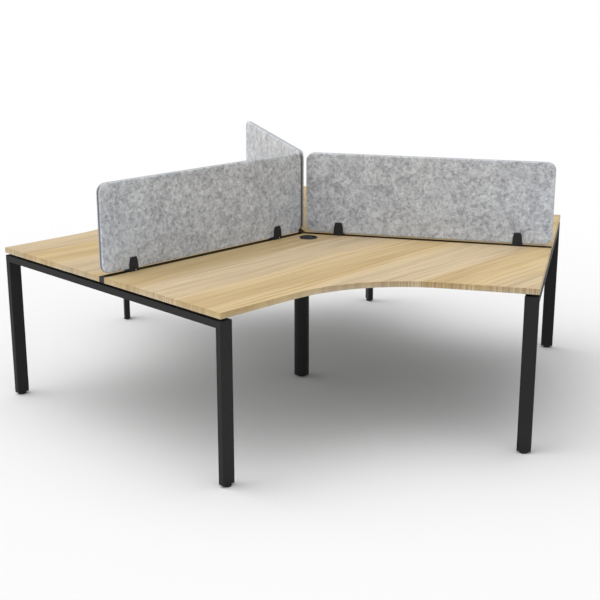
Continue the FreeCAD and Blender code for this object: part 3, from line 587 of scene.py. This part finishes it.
class Pattern(Bench):
    """A Geometry Nodes tree whose sizes are named inputs, run once and kept as a plain mesh."""

    def __init__(self, name, sizes, vectors=()):
        super().__init__(bpy.data.node_groups.new(name, "GeometryNodeTree"))
        face = self.tree.interface
        face.new_socket("Geometry", in_out="OUTPUT", socket_type="NodeSocketGeometry")
        for size in sizes:
            face.new_socket(size, in_out="INPUT", socket_type="NodeSocketFloat")
        for vector in vectors:
            face.new_socket(vector, in_out="INPUT", socket_type="NodeSocketVector")
        face.new_socket("Finish", in_out="INPUT", socket_type="NodeSocketMaterial")
        self.size = {
            socket.name: Reading(self, socket)
            for socket in self.node("NodeGroupInput").outputs
            if socket.name
        }

    def joined(self, *parts):
        join = self.node("GeometryNodeJoinGeometry")
        for part in parts:
            self.tree.links.new(part.socket, join.inputs[0])
        return Reading(self, join.outputs[0])

    def end(self, geometry):
        real = self.read("GeometryNodeRealizeInstances", None, {"Geometry": geometry})
        dressed = self.read(
            "GeometryNodeSetMaterial", None, {"Geometry": real, "Material": self.size["Finish"]}
        )
        self.node("NodeGroupOutput", None, {"Geometry": dressed})

    def make(self, name, **values):
        """Runs the tree with these inputs and returns the finished piece."""
        carrier = stand(bpy.data.meshes.new(name), name)
        modifier = carrier.modifiers.new(self.tree.name, "NODES")
        modifier.node_group = self.tree
        for socket in self.tree.interface.items_tree:
            if socket.in_out == "INPUT":
                modifier[socket.identifier] = values[socket.name]
        bpy.context.view_layer.update()
        evaluated = carrier.evaluated_get(bpy.context.evaluated_depsgraph_get())
        mesh = bpy.data.meshes.new_from_object(evaluated)
        carrier.modifiers.remove(modifier)
        face_outwards(mesh)
        carrier.data = mesh
        return carrier


def screen_pattern():
    """A felt board: a rim profile swept round a rounded outline, with both faces filled."""
    sizes = ("Length", "Height", "Thickness", "Corner", "Arris", "Margin", "Sink", "Turn")
    board = Pattern("felt_board", sizes, ("Middle",))
    size = board.size
    half = size["Thickness"] / 2

    outline = board.read(
        "GeometryNodeCurvePrimitiveQuadrilateral",
        None,
        {"Width": size["Length"] - size["Margin"] * 2, "Height": size["Height"] - size["Margin"] * 2},
    )
    path = board.read(
        "GeometryNodeFilletCurve",
        {"mode": "POLY"},
        {"Curve": outline, "Count": CORNER_STEPS, "Radius": size["Corner"] - size["Margin"]},
    )

    # The rim's profile runs out along one face, through the board and back along the other face.
    middle = (PROFILE_CORNERS - 1) / 2
    number = board.read("GeometryNodeInputIndex")
    out = board.math("MINIMUM", middle - abs(number - middle), 1.0)
    side = board.math("SIGN", middle - number)
    corners = board.read("GeometryNodeMeshLine", None, {"Count": PROFILE_CORNERS})
    bare = board.read(
        "GeometryNodeSetPosition",
        None,
        {"Geometry": corners, "Position": board.vector(out * size["Margin"], side * half)},
    )
    profile = board.read(
        "GeometryNodeFilletCurve",
        {"mode": "POLY"},
        {
            "Curve": board.read("GeometryNodeMeshToCurve", None, {"Mesh": bare}),
            "Count": ARRIS_STEPS,
            "Radius": size["Arris"],
        },
    )
    profile = board.read(
        "GeometryNodeResampleCurve", {"mode": "LENGTH"}, {"Curve": profile, "Length": RIM_STEP}
    )
    across, through, _ = board.split(board.read("GeometryNodeInputPosition"))
    profile = board.read(
        "GeometryNodeStoreNamedAttribute",
        {"data_type": "FLOAT", "domain": "POINT"},
        {"Geometry": profile, "Name": "edge", "Value": (half - abs(through)) / size["Arris"]},
    )
    sunk = through * (1 - (across / size["Margin"]) ** 3 * (size["Sink"] / half))
    profile = board.read(
        "GeometryNodeSetPosition", None, {"Geometry": profile, "Position": board.vector(across, sunk)}
    )
    rim = board.read("GeometryNodeCurveToMesh", None, {"Curve": path, "Profile Curve": profile})

    faces = []
    for direction in (1, -1):
        filled = board.read("GeometryNodeFillCurve", {"mode": "NGONS"}, {"Curve": path})
        if direction < 0:
            filled = board.read("GeometryNodeFlipFaces", None, {"Mesh": filled})
        faces.append(board.read(
            "GeometryNodeTransform",
            None,
            {"Geometry": filled, "Translation": board.vector(0.0, 0.0, half * direction)},
        ))
    closed = board.read(
        "GeometryNodeMergeByDistance", None, {"Geometry": board.joined(rim, *faces), "Distance": WELD}
    )
    smooth = board.read("GeometryNodeSetShadeSmooth", None, {"Geometry": closed})
    standing = board.read(
        "GeometryNodeTransform",
        None,
        {
            "Geometry": smooth,
            "Translation": size["Middle"],
            "Rotation": board.vector(math.pi / 2, 0.0, size["Turn"]),
        },
    )
    board.end(standing)
    return board


def towards(azimuth, elevation):
    return Vector((
        math.cos(azimuth) * math.cos(elevation),
        math.sin(azimuth) * math.cos(elevation),
        math.sin(elevation),
    ))


def make_screens(wool):
    board = screen_pattern()
    size = SCREEN_HIGH - SCREEN_LOW
    centre = (SCREEN_LOW + SCREEN_HIGH) / 2
    for spine, bearing in SPINES.items():
        middle = HUB + towards(bearing, 0.0) * (centre.y - HUB.y)
        middle.z = centre.z
        screen = board.make(
            f"felt_screen_{spine}",
            Length=size.y,
            Height=size.z,
            Thickness=size.x,
            Corner=SCREEN_CORNER,
            Arris=SCREEN_ARRIS,
            Margin=SCREEN_MARGIN,
            Sink=SCREEN_SINK,
            Turn=bearing,
            Middle=middle,
            Finish=wool,
        )
        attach(screen, "frame")
        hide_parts(f"screen_{spine}")


def dress(finishes):
    """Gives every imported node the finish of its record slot, and each worktop its own grain."""
    slots = {part["node"]: part["material_slot"] for part in frame["record"]["subparts"]}
    for name, node in frame["nodes"].items():
        desk = name.removeprefix("worktop_").removeprefix("edge_band_")
        finish = finishes.get((slots[name], desk)) or finishes[slots[name]]
        node.material_slots[0].material = finish


def place_camera():
    lens = bpy.data.cameras.new("camera")
    lens.lens = CAMERA_LENS
    lens.sensor_width = CAMERA_SENSOR
    camera = stand(lens, "camera")
    back = towards(CAMERA_BEARING, CAMERA_ELEVATION)
    camera.location = CAMERA_TARGET + back * CAMERA_DISTANCE
    camera.rotation_mode = "QUATERNION"
    camera.rotation_quaternion = (-back).to_track_quat("-Z", "Y")
    bpy.context.scene.camera = camera


def seen_directly(bench):
    """1 for a ray that leaves the eye or goes through glass."""
    rays = bench.node("ShaderNodeLightPath")
    eye, glass = (Reading(bench, rays.outputs[name]) for name in ("Is Camera Ray", "Is Transmission Ray"))
    return bench.math("MAXIMUM", eye, glass)


def make_floor():
    """A pale sweep that keeps the desk's shadow and fades to white far from it."""
    finish = Finish("studio_floor")
    matt = finish.read(
        "ShaderNodeBsdfPrincipled",
        None,
        {"Base Color": colour("floor"), "Roughness": 0.9, "Specular IOR Level": 0.0},
    )
    white = finish.read("ShaderNodeEmission", None, {"Color": colour("white"), "Strength": 1.0})
    reach = finish.read("ShaderNodeVectorMath", {"operation": "LENGTH"}, {0: finish.place}, "Value")
    fade = reach.over(FADE_START, FADE_WIDTH) * seen_directly(finish)
    shown = finish.read("ShaderNodeMixShader", None, {0: fade, 1: matt, 2: white})
    finish.node("ShaderNodeOutputMaterial", None, {"Surface": shown})

    mesh = bpy.data.meshes.new("studio_floor")
    corners = [(x * FLOOR_HALF, y * FLOOR_HALF, 0) for x, y in ((-1, -1), (1, -1), (1, 1), (-1, 1))]
    mesh.from_pydata(corners, [], [(0, 1, 2, 3)])
    mesh.materials.append(finish.material)
    stand(mesh, "studio_floor")


def make_sky():
    """A dome that glows softly round each softbox and that the eye sees as plain white."""
    world = bpy.data.worlds.new("studio")
    world.use_nodes = True
    bpy.context.scene.world = world
    sky = Bench(world.node_tree)
    sky.tree.nodes.clear()
    direction = sky.read("ShaderNodeTexCoord", output="Generated")
    glow = 0.0
    for softbox in SOFTBOXES.values():
        side = towards(math.radians(softbox["azimuth"]), math.radians(softbox["elevation"]))
        facing = sky.read(
            "ShaderNodeVectorMath", {"operation": "DOT_PRODUCT"}, {0: direction, 1: side}, "Value"
        )
        glow = glow + (facing * 0.5 + 0.5) ** SOFTBOX_FOCUS * softbox["gain"]
    dome = sky.read("ShaderNodeBackground", None, {"Color": colour("white"), "Strength": glow})
    white = sky.read("ShaderNodeBackground", None, {"Color": colour("white"), "Strength": 1.0})
    mixed = sky.read("ShaderNodeMixShader", None, {0: seen_directly(sky), 1: dome, 2: white})
    sky.node("ShaderNodeOutputWorld", None, {"Surface": mixed})


place_camera()
finishes = {
    "black_powder_coat": powder_coat("black_powder_coat"),
    "black_plastic": moulded_plastic("black_plastic"),
    "black_rubber": rubber("black_rubber"),
    "grey_felt": felt("grey_felt"),
    "zinc_steel": zinc("zinc_steel"),
}
for seed, (desk, grain) in enumerate(GRAINS.items()):
    finishes["oak_board", desk] = oak(f"oak_board_{desk}", **grain, seed=seed)
    finishes["oak_band", desk] = oak(f"oak_band_{desk}", **grain, seed=seed, band=True)
dress(finishes)
make_screens(finishes["grey_felt"])
make_floor()
make_sky()

bpy.context.scene.view_settings.view_transform = "Standard"
